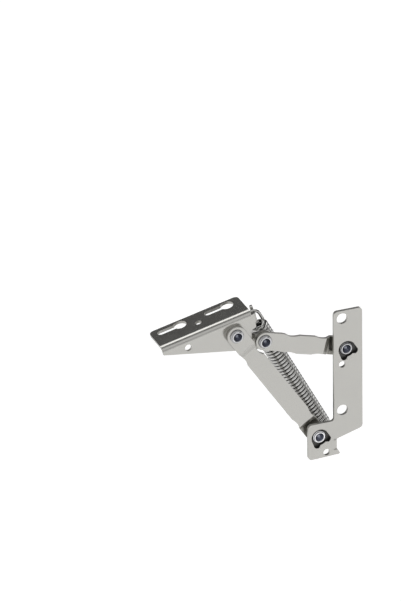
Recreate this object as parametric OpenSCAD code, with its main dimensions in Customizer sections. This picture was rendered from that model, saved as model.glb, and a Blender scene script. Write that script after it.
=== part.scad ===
// Flap stay: a folded mounting plate, two pivoting arms, a flap bracket and a tension spring.
// X runs along the flap, Y away from the cabinet side and Z up. The origin is on the mounting face,
// half way between the two screw holes, and the stay is drawn open.

/* [Frame plate] */
// Distance between the two screw holes
screw_pitch = 64; // [60:1:68]
// Radius of each screw hole
screw_r = 3.6; // [3:0.1:4]
// Radius of the two pilot holes in the plate
pilot_r = 2.2; // [1.6:0.1:2.5]
// Thickness of the plate
plate_t = 2; // [1.6:0.1:2.2]
// Width of the plate left of the screw line
plate_left = 5.6; // [5:0.1:6.5]
// Width of the plate right of the screw line
plate_right = 13.5; // [11:0.1:16]
// Height of the plate above the upper screw
plate_over = 5.4; // [5:0.1:8]
// Depth of the right edge below the lower screw
plate_under = 14.4; // [10:0.1:16]
// Rise of the slanting edge towards the right
slant_rise = 5; // [2:0.1:8]
// Distance from the screw line to the left edge of the lower lobe
lobe_left = 23.1; // [22:0.1:26]
// Depth of the top edge of the lower lobe below centre
lobe_top = 38.6; // [37:0.1:39.5]
// Depth of the bottom edge of the lower lobe below centre
lobe_bottom = 63.2; // [62:0.1:66]
// Rise of the lobe's bottom edge at its right end
lobe_rise = 0.8; // [0:0.1:1]
// Distance from the screw line to the right end of the lobe's bottom edge
ear_x = 1.3; // [0.5:0.1:2]
// Height of the ear at that end, under the lower spring hook
ear_h = 3.4; // [2.4:0.1:3.4]
// Width of the slanting edge of that ear
ear_slant = 2; // [1:0.1:2.5]
// Distance of the lower pilot hole left of the screw line
low_pilot_x = 10.8; // [10:0.1:12]
// Depth of the lower pilot hole below centre
low_pilot_drop = 59.6; // [58.5:0.1:60]
// Radius of the plate's outer corners
corner_r = 2.5; // [1:0.1:4]
// Depth of the dished seats behind the mounting face
dish_depth = 2.2; // [2:0.1:2.6]
// Radius of a dished seat
dish_r = 5.7; // [5.2:0.1:5.8]
// Radius of the two small lobes on the rim of a dished seat
dish_lobe_r = 2.4; // [2.2:0.1:2.8]
// Distance of those lobes from the middle of the seat
dish_lobe_reach = 5.2; // [4.9:0.1:5.4]
// Radius at which the shallow ramp between those lobes meets the mounting face
ramp_r = 8.6; // [8:0.1:8.8]
// Depth of that ramp at the rim of the seat
ramp_depth = 0.8; // [0.4:0.1:1]
// Width of the sloping wall round a dished seat
dish_wall = 1; // [0.8:0.1:1.2]

/* [Pivots] */
// Place of the link's pivot on the plate, right of the screw line
link_base_x = 3.2; // [2.8:0.1:3.8]
// Height of the link's pivot on the plate
link_base_z = 10; // [9.5:0.1:10.5]
// Place of the long arm's pivot on the plate, left of the screw line
arm_base_x = 15.2; // [14.8:0.1:15.6]
// Depth of the long arm's pivot below centre
arm_base_z = 48.4; // [48:0.1:48.8]
// Place of the long arm's upper pivot, left of the screw line
arm_tip_x = 68.4; // [68:0.1:68.8]
// Height of the long arm's upper pivot
arm_tip_z = 31.7; // [31.4:0.1:32]
// Place of the link's outer pivot, left of the screw line
link_tip_x = 49.7; // [49.4:0.1:50]
// Height of the link's outer pivot
link_tip_z = 24.2; // [24:0.1:24.5]
// Gap between two sheets that turn on each other
run_gap = 0.1; // [0.05:0.05:0.2]
// Play between a rivet shank and the hole that turns on it
pin_play = 0.05; // [0.02:0.01:0.1]

/* [Arms] */
// Thickness of both arms
arm_t = 2; // [1.8:0.1:2.2]
// Width of both arms along their middle
arm_w = 12.5; // [11.5:0.1:12.8]
// Radius of the arms' rounded ends
arm_end_r = 6.25; // [5.8:0.05:6.3]
// Radius of the link's outer end
link_tip_r = 6; // [5.5:0.1:6.1]
// Step from the ends of an arm to its middle
arm_step = 1.9; // [1.4:0.1:1.9]
// Distance from a pivot to the start of the step
step_start = 11; // [10:0.1:12]
// Length of the sloping step along the arm
step_l = 3.6; // [3:0.1:5]
// Distance from a pivot to the middle of the waist
waist_at = 17; // [16:0.1:18]
// Length of a waist along the arm
waist_l = 10; // [8:0.1:11]
// Depth of a waist on each side
waist_depth = 0.9; // [0.5:0.1:1.2]
// Depth of the deeper waist that clears the link's outer end
clear_depth = 1.9; // [1.7:0.1:2.2]

/* [Flap bracket] */
// Thickness of the bracket sheet
sheet_t = 1.8; // [1.6:0.1:1.9]
// Tilt of the flange when the stay is open, in degrees
flange_tilt = 13; // [12:0.5:14]
// Length of the flange past the round part of the inner keyhole
flange_past = 9.3; // [7:0.1:10]
// Width of the flange, measured from the front of the web
flange_w = 22.8; // [22.4:0.1:24]
// Place of the flange's right end, left of the screw line
flange_end_x = 57.5; // [57.2:0.1:58.2]
// Height of the flange's right end
flange_end_z = 44.8; // [44.5:0.1:45]
// Radius of the flange's two free corners
flange_corner_r = 3; // [1:0.5:5]
// Inner radius of the sheet's main bend
bend_r = 2.5; // [1.8:0.1:2.8]
// Distance between the two keyholes
key_pitch = 32; // [30:0.5:33]
// Distance from the flange's left end to the round part of the outer keyhole
key_start = 19.2; // [18.5:0.1:21]
// Distance from the front of the web to the line of the keyholes
key_y = 17.4; // [16.5:0.1:17.5]
// Radius of a keyhole's round part
key_r = 4.2; // [3.8:0.1:4.4]
// Width of a keyhole's slot
key_slot_w = 4.6; // [4.2:0.1:4.8]
// Length of a keyhole's slot from the middle of its round part
key_slot_l = 15.2; // [12:0.1:16]
// Distance from the flange's left end to the small hole between the keyholes
flap_pilot_at = 29.4; // [29:0.1:31]
// Distance from the front of the web to that small hole
flap_pilot_y = 11.7; // [11:0.1:12]
// Radius of that small hole
flap_pilot_r = 2.1; // [1.8:0.1:2.4]
// Radius of the pilot hole in the web
web_pilot_r = 2.2; // [1.6:0.1:2.5]
// Distance from the flange's left end to the web's pilot hole
web_pilot_at = 16.3; // [15:0.1:19]
// Depth of the web's pilot hole below the flange
web_pilot_drop = 6.9; // [6.5:0.1:7.2]
// Depth of the web at its outer tip
web_tip_drop = 5.2; // [5:0.1:6.5]
// Radius of the web's corner at that tip
web_tip_r = 0.6; // [0.3:0.1:1.4]
// Distance from the flange's left end to the lower edge's corner
web_low_at = 43.8; // [42:0.1:46]
// Depth of the web's lower edge at that corner
web_low_drop = 21.9; // [21:0.1:23]
// Width of the web past the flange's right end
web_past = 1.1; // [1:0.1:1.8]
// Depth of the web's right edge above the notch
web_edge_drop = 12; // [11:0.1:12.5]
// Radius of the round seat pressed into the web
seat_r = 5.4; // [5:0.1:5.5]
// Wall round the seat pressed into the web
seat_wall = 1; // [0.8:0.1:1.2]
// Half the width of the stepped leg that carries the link
leg_half_w = 5.2; // [4.8:0.1:5.6]
// Radius of the stepped leg's round end
leg_end_r = 6.4; // [6:0.1:6.6]
// Distance from the link's outer pivot to the step in the leg
leg_step_at = 5.3; // [5:0.1:5.6]
// Length of the sloping step in the leg
leg_step_l = 2; // [1.5:0.1:2.5]

/* [Rivets and washers] */
// Radius of a rivet's shank
shank_r = 3; // [2.6:0.1:3.1]
// Radius of a rivet's flat head
head_r = 4.7; // [4.2:0.1:4.8]
// Thickness of a rivet's flat head
head_t = 1.4; // [1:0.1:1.6]
// Radius of a rivet's rolled end
roll_r = 3.7; // [3.4:0.1:4]
// Height of a rivet's rolled end
roll_h = 0.9; // [0.8:0.1:1]
// Radius of the hollow in a rivet's rolled end
hollow_r = 2.7; // [2.2:0.1:2.8]
// Radius of the floor of that hollow, which narrows inwards
hollow_floor_r = 1.3; // [0.8:0.1:1.6]
// Depth of the hollow in a rivet's rolled end
hollow_depth = 3; // [2:0.1:3.2]
// Radius of a washer under a rolled end
washer_r = 4.4; // [4.2:0.1:4.6]
// Thickness of a washer under a rolled end
washer_t = 1.1; // [0.7:0.1:1.1]
// Width of the slope round the front of a washer
washer_slope = 0.4; // [0.2:0.1:0.5]

/* [Spring and its hooks] */
// Diameter of the spring wire
wire_d = 2; // [1.7:0.1:2]
// Outer diameter of the coil
coil_d = 12; // [11:0.1:12]
// Number of turns in the coil
coil_turns = 35; // [30:1:36]
// Radius of an end loop to the middle of its wire
loop_r = 4.5; // [4.4:0.1:4.7]
// Distance from the middle of an end loop to the coil
coil_lead = 6.2; // [6:0.1:7]
// Distance of the spring's axis behind the mounting face
spring_y = 16.6; // [16.5:0.1:17.2]
// Distance along the spring from the middle of an end loop to the hook in it
hook_offset = 1.8; // [1.6:0.1:1.8]
// Distance across the spring from the middle of an end loop to the hook in it
hook_side = 1; // [0.8:0.1:1]
// Place of the lower hook, left of the screw line
low_hook_x = 3; // [2.8:0.1:3.2]
// Depth of the lower hook below centre
low_hook_z = 54.4; // [54:0.1:55]
// Place of the upper hook, left of the screw line
high_hook_x = 52.4; // [52.2:0.1:52.6]
// Height of the upper hook
high_hook_z = 37.8; // [37.6:0.1:38]
// Height of a hook's neck inside the end loop
neck_h = 1.6; // [1.5:0.1:1.9]
// Distance that a hook's head reaches past the spring's axis
hook_reach = 4.2; // [3.5:0.1:5]
// Turn of the lower hook out of the plate, in degrees
low_hook_turn = 87; // [85:1:88]
// Turn of the upper hook out of the web, in degrees
high_hook_turn = 80; // [76:1:82]
// Inner radius of the bend at the root of a hook
hook_bend_r = 1.2; // [0.8:0.1:1.5]

/* [Hidden] */

// Smoothness of holes, round corners and bends
round_fn = 48;
corner_steps = 6;
bend_steps = 8;
// Extra length of a cutting tool past the face that it leaves
cut = 1;

// Layers along Y, from the mounting face backwards
dish_back = dish_depth + plate_t;
arm_y = dish_back + run_gap;
arm_back = arm_y + arm_t;
leg_y = arm_back + run_gap;
web_y = leg_y + sheet_t;
web_back = web_y + sheet_t;

// Pivots and hooks as places in X and Z
link_base = [link_base_x, link_base_z];
arm_base = [-arm_base_x, -arm_base_z];
arm_tip = [-arm_tip_x, arm_tip_z];
link_tip = [-link_tip_x, link_tip_z];
low_hook = [-low_hook_x, -low_hook_z];
high_hook = [-high_hook_x, high_hook_z];

// Shape helpers: arcs, rounded outlines, sheets and bars

function polar(r, a) = r * [cos(a), sin(a)];

function arc(c, r, a0, a1, n) = [for (i = [0:n]) c + polar(r, a0 + (a1 - a0) * i / n)];

function unit(v) = v / norm(v);

// Round stretch of radius r in place of corner p between the points before and after it
function round_corner(before, p, after, r) =
    let (
        u = unit(before - p),
        v = unit(after - p),
        half = acos(u * v) / 2,
        back = min(r / tan(half), norm(before - p) / 2, norm(after - p) / 2),
        radius = back * tan(half),
        centre = p + unit(u + v) * radius / sin(half),
        from = p + u * back - centre,
        to = p + v * back - centre,
        a0 = atan2(from[1], from[0]),
        turn = atan2(from[0] * to[1] - from[1] * to[0], from * to)
    ) arc(centre, radius, a0, a0 + turn, corner_steps);

// Outline through corners given as [x, y, radius]
function outline(corners) =
    let (n = len(corners), at = [for (c = corners) [c[0], c[1]]])
    [
        for (i = [0:n - 1])
            each corners[i][2] > 0
                ? round_corner(at[(i + n - 1) % n], at[i], at[(i + 1) % n], corners[i][2])
                : [at[i]]
    ];

// Plate of thickness t that starts at depth y, from an outline in X and Z
module sheet(y, t) {
    translate([0, y + t, 0]) rotate([90, 0, 0]) linear_extrude(t) children();
}

// Bar along X from a profile in Y and Z
module bar_x(x, l) {
    translate([x, 0, 0]) rotate([90, 0, 90]) linear_extrude(l) children();
}

// Round bar along Y
module bar_y(at, y0, y1, r) {
    translate([at[0], y0, at[1]]) rotate([-90, 0, 0]) cylinder(h = y1 - y0, r = r, $fn = round_fn);
}

// Frame plate with its dished seats and the lower spring hook

// Directions of the two small lobes on the rim of a seat
dish_lobe_angles = [-19, -109];
// Angles between which the ramp runs from lobe to lobe
ramp_angles = [-36, -92];
// Height and depth of the root of the lower hook about the hook's own place
lug_over = 2.2;
lug_under = 4.1;
lug_top = low_hook_z - lug_over;
lug_bottom = low_hook_z + lug_under;

// Place along the sheet where a hook's bend starts, for a sheet of thickness t whose back lies at back_y
function hook_bend_x(hook_x, t, turn, back_y) =
    let (
        mid_r = hook_bend_r + t / 2,
        run = spring_y - back_y - hook_bend_r + mid_r * cos(turn)
    )
    hook_x - mid_r * sin(turn) - run / tan(turn);

lug_bend_x = hook_bend_x(low_hook[0], plate_t, low_hook_turn, plate_t);

plate_top = screw_pitch / 2 + plate_over;
plate_low = -screw_pitch / 2 - plate_under;
slant_end_x = -3.5;
inner_corner_r = 2;
ear_corner_r = 0.8;
plate_outline = outline([
    [-plate_left, plate_top, corner_r],
    [plate_right, plate_top, corner_r],
    [plate_right, plate_low, corner_r],
    [slant_end_x, plate_low - slant_rise, 0],
    [lug_bend_x, -lug_top + cut / 2, 0],
    [lug_bend_x, -lobe_bottom + lobe_rise + ear_h, 0],
    [-ear_x - ear_slant, -lobe_bottom + lobe_rise + ear_h, 0],
    [-ear_x, -lobe_bottom + lobe_rise, ear_corner_r],
    [-lobe_left, -lobe_bottom, corner_r],
    [-lobe_left, -lobe_top, corner_r],
    [-plate_left, -lobe_top, inner_corner_r],
]);

// Turn from a lobe's own direction to the straight flank on its outer side, for each lobe
dish_flank = acos((dish_r - dish_lobe_r) / dish_lobe_reach);
dish_flank_turns = [dish_flank, -dish_flank];
// Distance of that flank inside the line that would just touch both rounds
flank_set = 0.05;

// Round shape with two small lobes, from depth y0 to y1
module dish(at, y0, y1, grow) {
    bar_y(at, y0, y1, dish_r + grow);
    for (i = [0:1]) {
        lobe = at + polar(dish_lobe_reach, dish_lobe_angles[i]);
        out = polar(1, dish_lobe_angles[i] + dish_flank_turns[i]);
        bar_y(lobe, y0, y1, dish_lobe_r + grow);
        sheet(y0, y1 - y0) polygon([
            at,
            at + (dish_r + grow - flank_set) * out,
            lobe + (dish_lobe_r + grow - flank_set) * out,
            lobe,
        ]);
    }
}

// Shallow slope from the mounting face down to the rim of a seat, between its two lobes
module dish_ramp(at) {
    slope = ramp_depth / (ramp_r - dish_r);
    far = 2 * ramp_r;
    intersection() {
        translate([at[0], -cut, at[1]])
            rotate([-90, 0, 0])
            cylinder(h = cut + ramp_depth, r1 = ramp_r + cut / slope, r2 = dish_r, $fn = round_fn);
        sheet(-2 * cut, dish_depth + 2 * cut)
            polygon([at, at + polar(far, ramp_angles[0]), at + polar(far, ramp_angles[1])]);
    }
}

// Room kept round the back of the middle pilot hole, where the wall of the seat reaches over it
pilot_relief = 0.3;

// Strip that leaves a sheet at [start, y] and turns back by an angle, as an outline in X and Y
function bent_strip(start, y, t, turn, reach) =
    let (
        centre = [start, y + t + hook_bend_r],
        inner = arc(centre, hook_bend_r, -90, turn - 90, bend_steps),
        outer = arc(centre, hook_bend_r + t, -90, turn - 90, bend_steps),
        dir = [cos(turn), sin(turn)],
        rise_in = (reach - inner[bend_steps][1]) / sin(turn),
        rise_out = (reach - outer[bend_steps][1]) / sin(turn)
    )
    concat(
        [[start - cut, y + t], [start - cut, y]],
        outer,
        [outer[bend_steps] + rise_out * dir, inner[bend_steps] + rise_in * dir],
        [for (i = [0:bend_steps]) inner[bend_steps - i]]
    );

loop_half = wire_d / 2;
// Room along Y between a hook's wide parts and the wire in its neck
neck_room = 0.6;
neck_front = spring_y - loop_half - neck_room;
neck_back = spring_y + loop_half + neck_room;
hook_end = spring_y + hook_reach;
hook_edge_r = 0.5;
hook_corner_r = 0.8;
root_corner_r = 1.5;
// Lengths of the slopes above and below, from the wide root of the lower hook to its neck
slope_over = 5;
slope_under = 3;
// Reach of the lower hook's turned-down head below the hook's own place
low_head_drop = 6;

// Side view of the lower hook in Y and Z: a wide root, a neck in the loop and a head turned down
low_hook_side = outline([
    [-cut, -lug_top, 0],
    [neck_front - slope_over, -lug_top, root_corner_r],
    [neck_front, low_hook[1] + neck_h / 2, 0],
    [neck_back, low_hook[1] + neck_h / 2, 0],
    [neck_back, low_hook[1] + neck_h, hook_edge_r],
    [hook_end, low_hook[1] + neck_h, hook_edge_r],
    [hook_end, low_hook[1] - low_head_drop, hook_corner_r],
    [neck_back, low_hook[1] - low_head_drop, hook_corner_r],
    [neck_back, low_hook[1] - neck_h / 2, 0],
    [neck_front, low_hook[1] - neck_h / 2, 0],
    [neck_front - slope_under, -lug_bottom, root_corner_r],
    [-cut, -lug_bottom, 0],
]);

module lower_hook() {
    intersection() {
        translate([0, 0, -lug_bottom - cut])
            linear_extrude(lug_bottom - lug_top + 2 * cut)
            polygon(bent_strip(lug_bend_x, 0, plate_t, low_hook_turn, hook_end));
        bar_x(lug_bend_x - 2 * cut, 20) polygon(low_hook_side);
    }
}

module frame_plate() {
    color([0.72, 0.71, 0.68]) difference() {
        union() {
            sheet(0, plate_t) polygon(plate_outline);
            for (p = [link_base, arm_base])
                dish(p, plate_t / 2, dish_back, dish_wall);
            lower_hook();
        }
        for (p = [link_base, arm_base]) {
            dish(p, -cut, dish_depth, 0);
            dish_ramp(p);
            bar_y(p, -cut, dish_back + cut, shank_r);
        }
        for (z = [-screw_pitch / 2, screw_pitch / 2])
            bar_y([0, z], -cut, plate_t + cut, screw_r);
        bar_y([0, 0], -cut, plate_t + cut, pilot_r);
        bar_y([0, 0], plate_t, dish_back + cut, pilot_r + pilot_relief);
        bar_y([-low_pilot_x, -low_pilot_drop], -cut, plate_t + cut, pilot_r);
    }
}

// Arms: flat bars with round ends, stepped forward along their middle

// Cutter for one waist at place x on one side of an arm
module waist(x, side, depth) {
    r = (pow(waist_l / 2, 2) + depth * depth) / (2 * depth);
    bar_y([x, side * (arm_w / 2 + r - depth)], arm_y - arm_step - cut, arm_back + cut, r);
}

// Rounded end of radius r at place x, carried along to the waist at x2
module arm_pad(x, x2, r) {
    bar_y([x, 0], arm_y - arm_step, arm_back, r);
    translate([min(x, x2), arm_y - arm_step, -r]) cube([abs(x2 - x), arm_t + arm_step, 2 * r]);
}

// Arm between two pivots: base and tip, with end radii and a waist depth towards the spring at the tip
module stepped_arm(base, tip, base_r, tip_r, tip_waist, base_hole_r) {
    l = norm(tip - base);
    angle = atan2(tip[1] - base[1], tip[0] - base[0]);
    front = arm_y - arm_step;
    side = [
        [-base_r - cut, arm_y],
        [step_start, arm_y],
        [step_start + step_l, front],
        [l - step_start - step_l, front],
        [l - step_start, arm_y],
        [l + tip_r + cut, arm_y],
        [l + tip_r + cut, arm_back],
        [l - step_start, arm_back],
        [l - step_start - step_l, arm_back - arm_step],
        [step_start + step_l, arm_back - arm_step],
        [step_start, arm_back],
        [-base_r - cut, arm_back],
    ];
    translate([base[0], 0, base[1]]) rotate([0, -angle, 0]) difference() {
        intersection() {
            union() {
                arm_pad(0, waist_at, base_r);
                arm_pad(l, l - waist_at, tip_r);
                translate([waist_at, front, -arm_w / 2])
                    cube([l - 2 * waist_at, arm_t + arm_step, arm_w]);
            }
            translate([0, 0, -arm_w]) linear_extrude(2 * arm_w) polygon(side);
        }
        for (x = [waist_at, l - waist_at])
            waist(x, 1, waist_depth);
        waist(waist_at, -1, waist_depth);
        waist(l - waist_at, -1, tip_waist);
        bar_y([0, 0], arm_y - cut, arm_back + cut, base_hole_r);
        bar_y([l, 0], arm_y - cut, arm_back + cut, shank_r + pin_play);
    }
}

module short_link() {
    color([0.7, 0.69, 0.66])
        stepped_arm(link_base, link_tip, arm_end_r, link_tip_r, waist_depth, shank_r + pin_play);
}

module long_arm() {
    color([0.7, 0.69, 0.66])
        stepped_arm(arm_base, arm_tip, arm_end_r, arm_end_r, clear_depth, shank_r);
}

// Flap bracket, drawn along its flange: X along the flange from its left end, Z up from its top face

flange_l = key_start + key_pitch + flange_past;
flange_start = [
    -flange_end_x - flange_l * cos(flange_tilt),
    flange_end_z - flange_l * sin(flange_tilt),
];
bend_out = bend_r + sheet_t;
flange_y = web_y + flange_w;

// A place in X and Z, seen from the flange's left end
function on_flange(p) =
    let (d = p - flange_start)
    [d[0] * cos(flange_tilt) + d[1] * sin(flange_tilt), d[1] * cos(flange_tilt) - d[0] * sin(flange_tilt)];

module along_flange() {
    translate([flange_start[0], 0, flange_start[1]]) rotate([0, -flange_tilt, 0]) children();
}

bend_centre = [web_y + bend_out, -bend_out];
// Flange and bend in Y and Z, down to where the flat web takes over
flange_profile = concat(
    [[web_back, -bend_out - cut], [web_y, -bend_out - cut]],
    arc(bend_centre, bend_out, 180, 90, bend_steps),
    [[flange_y, 0], [flange_y, -sheet_t]],
    arc(bend_centre, bend_r, 90, 180, bend_steps)
);
flange_plan = outline([
    [0, web_y - cut, 0],
    [flange_l, web_y - cut, 0],
    [flange_l, flange_y, flange_corner_r],
    [0, flange_y, flange_corner_r],
]);

leg_step_x = link_tip[0] - leg_step_at;
leg_left_x = leg_step_x - leg_step_l;
leg_top = on_flange([leg_left_x, link_tip[1] + leg_half_w]);
leg_low = on_flange([leg_left_x, link_tip[1] - leg_half_w]);
hook_mid = on_flange(high_hook);
tab_bend_x = hook_bend_x(hook_mid[0], sheet_t, high_hook_turn, web_back);
tab_top = -2.5;
tab_slope = 3;
// Reach of the upper hook's head past its root, above and below
high_head_over = -0.6;
high_head_under = 0.8;
web_low_r = 6;
web_notch_r = 1;
tab_low = hook_mid[1] - neck_h / 2;
web_edge_x = flange_l + web_past;
web_outline = outline([
    [0, -bend_out, 0],
    [0, -web_tip_drop, web_tip_r],
    [web_low_at, -web_low_drop, web_low_r],
    [leg_low[0], leg_low[1], 0],
    [leg_top[0], leg_top[1], 0],
    [leg_top[0], -web_edge_drop - web_notch_r, web_notch_r],
    [web_edge_x, -web_edge_drop, web_notch_r],
    [web_edge_x, tab_low, 0],
    [tab_bend_x, tab_low, 0],
    [tab_bend_x, -bend_out, 0],
]);

// Side view of the upper hook in Y and Z: a wide root, a neck in the loop and a head turned up
high_hook_side = outline([
    [web_y - cut, tab_top, 0],
    [neck_front - tab_slope, tab_top, web_notch_r],
    [neck_front, hook_mid[1] + neck_h / 2, 0],
    [neck_back, hook_mid[1] + neck_h / 2, 0],
    [neck_back, tab_top + high_head_over, hook_corner_r],
    [hook_end, tab_top + high_head_over, hook_corner_r],
    [hook_end, tab_low - high_head_under, hook_edge_r],
    [neck_back, tab_low - high_head_under, hook_edge_r],
    [neck_back, tab_low, 0],
    [web_y - cut, tab_low, 0],
]);

module upper_hook() {
    intersection() {
        translate([0, 0, -web_edge_drop])
            linear_extrude(web_edge_drop)
            polygon(bent_strip(tab_bend_x, web_y, sheet_t, high_hook_turn, hook_end));
        bar_x(tab_bend_x - cut, 20) polygon(high_hook_side);
    }
}

// Round part and slot of one keyhole, with its round part at distance s along the flange
module keyhole(s) {
    translate([s, web_y + key_y, -sheet_t - cut])
        cylinder(h = sheet_t + 2 * cut, r = key_r, $fn = round_fn);
    translate([s - key_slot_l + key_slot_w / 2, web_y + key_y, -sheet_t - cut])
        cylinder(h = sheet_t + 2 * cut, r = key_slot_w / 2, $fn = round_fn);
    translate([s - key_slot_l + key_slot_w / 2, web_y + key_y - key_slot_w / 2, -sheet_t - cut])
        cube([key_slot_l - key_slot_w / 2, key_slot_w, sheet_t + 2 * cut]);
}

module flange_and_bend() {
    intersection() {
        bar_x(0, flange_l) polygon(flange_profile);
        translate([0, 0, -bend_out - 2 * cut])
            linear_extrude(bend_out + 3 * cut)
            polygon(flange_plan);
    }
}

// Leg that steps forward from the web to carry the link's outer pivot
module stepped_leg() {
    step_back = web_y - leg_y;
    path = [
        [leg_left_x - cut, web_y],
        [leg_left_x, web_y],
        [leg_step_x, leg_y],
        [link_tip[0] + leg_end_r + cut, leg_y],
        [link_tip[0] + leg_end_r + cut, leg_y + sheet_t],
        [leg_step_x, leg_y + sheet_t],
        [leg_left_x, web_back],
        [leg_left_x - cut, web_back],
    ];
    intersection() {
        translate([0, 0, link_tip[1] - leg_end_r - cut])
            linear_extrude(2 * (leg_end_r + cut))
            polygon(path);
        union() {
            bar_y(link_tip, leg_y - cut, web_back + cut, leg_end_r);
            translate([leg_left_x - 2 * cut, leg_y - cut, link_tip[1] - leg_half_w])
                cube([link_tip[0] - leg_left_x + 2 * cut, sheet_t + step_back + 2 * cut, 2 * leg_half_w]);
        }
    }
}

module flap_bracket() {
    color([0.74, 0.73, 0.7]) difference() {
        union() {
            along_flange() {
                flange_and_bend();
                sheet(web_y, sheet_t) polygon(web_outline);
                upper_hook();
            }
            stepped_leg();
            bar_y(arm_tip, leg_y, web_back, seat_r + seat_wall);
        }
        bar_y(arm_tip, web_y, web_back + cut, seat_r);
        bar_y(arm_tip, leg_y - cut, web_back + cut, shank_r);
        bar_y(link_tip, leg_y - cut, web_back + cut, shank_r);
        along_flange() {
            for (s = [key_start, key_start + key_pitch])
                keyhole(s);
            translate([flap_pilot_at, web_y + flap_pilot_y, -sheet_t - cut])
                cylinder(h = sheet_t + 2 * cut, r = flap_pilot_r, $fn = round_fn);
            bar_y([web_pilot_at, -web_pilot_drop], web_y - cut, web_back + cut, web_pilot_r);
        }
    }
}

// Rivets and washers, turned about Y. Profiles give radius and distance behind the front face.

lip_h = 0.5;
lip_steps = 6;
head_edge = 0.5;
roll_mid = (hollow_r + roll_r) / 2;
roll_half = (roll_r - hollow_r) / 2;
roll_profile = concat(
    [[0, hollow_depth], [hollow_floor_r, hollow_depth]],
    [
        for (i = [0:lip_steps])
            let (a = 180 - 180 * i / lip_steps) [roll_mid + roll_half * cos(a), lip_h * (1 - sin(a))]
    ],
    [[roll_r, roll_h], [shank_r, roll_h]]
);

// Flat head that starts at distance h, with a round edge
function head_profile(h) = concat(
    [[shank_r, h], [head_r, h]],
    arc([head_r - head_edge, h + head_t - head_edge], head_edge, 0, 90, lip_steps),
    [[0, h + head_t]]
);

module turned(at, y) {
    translate([at[0], y, at[1]]) rotate([-90, 0, 0]) rotate_extrude($fn = round_fn) children();
}

module washer(at, y) {
    turned(at, y) polygon([
        [shank_r, 0],
        [washer_r - washer_slope, 0],
        [washer_r, washer_slope],
        [washer_r, washer_t],
        [shank_r, washer_t],
    ]);
}

// Depth of the washer and of the rolled end in front of the face that they hold
plate_washer_y = dish_depth - washer_t;
plate_roll_y = plate_washer_y - roll_h;
arm_washer_y = arm_y - run_gap - washer_t;
arm_roll_y = arm_washer_y - roll_h;

module whole_rivet(at, y, head_y) {
    color([0.78, 0.8, 0.84]) turned(at, y) polygon(concat(roll_profile, head_profile(head_y - y)));
}

module rivet_plate_link() {
    whole_rivet(link_base, plate_roll_y, arm_back + run_gap);
}

module rivet_bracket_arm() {
    whole_rivet(arm_tip, arm_roll_y, web_y);
}

module rivet_bracket_link() {
    whole_rivet(link_tip, arm_roll_y, leg_y + sheet_t);
}

// Front half of the long arm's lower rivet, which ends in the gap between plate and arm
module rivet_plate_arm() {
    l = dish_back - plate_roll_y;
    color([0.78, 0.8, 0.84])
        turned(arm_base, plate_roll_y) polygon(concat(roll_profile, [[shank_r, l], [0, l]]));
}

// Rear half of that rivet, tight in the arm
module rivet_head_plate_arm() {
    color([0.78, 0.8, 0.84])
        turned(arm_base, arm_y) polygon(concat([[0, 0], [shank_r, 0]], head_profile(arm_t)));
}

module washer_plate_link() {
    color([0.6, 0.6, 0.58]) washer(link_base, plate_washer_y);
}

module washer_plate_arm() {
    color([0.6, 0.6, 0.58]) washer(arm_base, plate_washer_y);
}

module washer_bracket_arm() {
    color([0.6, 0.6, 0.58]) washer(arm_tip, arm_washer_y);
}

module washer_bracket_link() {
    color([0.6, 0.6, 0.58]) washer(link_tip, arm_washer_y);
}

// Spring: one wire from the lower end loop through the coil to the upper end loop.
// Its route is worked out along the axis, with the lower loop's middle as the start.

hook_line = high_hook - low_hook;
axis = unit([hook_line[0], 0, hook_line[1]]);
// Across the axis, in the plane of the end loops
across = [axis[2], 0, -axis[0]];
behind = [0, 1, 0];
spring_l = norm(hook_line) - 2 * hook_offset;
low_loop = [low_hook[0], spring_y, low_hook[1]] + hook_offset * axis - hook_side * across;

rings_per_turn = 8;
wire_sides = 6;
coil_r = (coil_d - wire_d) / 2;
coil_l = spring_l - 2 * coil_lead;
pitch = coil_l / coil_turns;
// Straight stretch of two wire diameters between the coil's end and the loop
shank_l = 2 * wire_d;
loop_sweep = 290;
loop_steps = 20;
lead_steps = 6;
lead_pull = 6.5;

coil_path = [
    for (i = [0:coil_turns * rings_per_turn])
        let (a = -90 + 360 * i / rings_per_turn)
        [coil_r * cos(a), coil_r * sin(a), coil_lead + pitch * i / rings_per_turn]
];

// Smooth way from the coil's end to the straight stretch
lead_from = [0, -coil_r, spring_l - coil_lead];
lead_to = [loop_r, 0, spring_l - shank_l];
lead_out = lead_pull * unit([1, 0, pitch / (2 * PI * coil_r)]);
lead_in = [0, 0, lead_pull];
lead_path = [
    for (i = [1:lead_steps])
        let (t = i / lead_steps)
        (2 * t * t * t - 3 * t * t + 1) * lead_from
            + (t * t * t - 2 * t * t + t) * lead_out
            + (3 * t * t - 2 * t * t * t) * lead_to
            + (t * t * t - t * t) * lead_in
];
join_point = [loop_r, 0, spring_l - wire_d];
loop_path = [
    for (i = [0:loop_steps])
        let (a = loop_sweep * i / loop_steps)
        [loop_r * cos(a), 0, spring_l + loop_r * sin(a)]
];

// The lower end is the upper end turned half round
function flipped(path) =
    [for (i = [len(path) - 1:-1:0]) [-path[i][0], path[i][1], spring_l - path[i][2]]];

spring_path = concat(
    flipped(concat(lead_path, [join_point], loop_path)),
    coil_path,
    lead_path,
    [join_point]
);
hook_path = concat([join_point], loop_path);

function placed(path) = [for (p = path) low_loop + p[0] * across + p[1] * behind + p[2] * axis];

function heading(path, i) = unit(path[min(i + 1, len(path) - 1)] - path[max(i - 1, 0)]);

// Directions square to the wire that turn as little as they can from ring to ring
function sides_of(path) = [
    for (
        i = 0, h = heading(path, 0), n = behind;
        i < len(path);
        i = i + 1, h = heading(path, min(i, len(path) - 1)), n = unit(n - (n * h) * h)
    ) n
];

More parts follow.
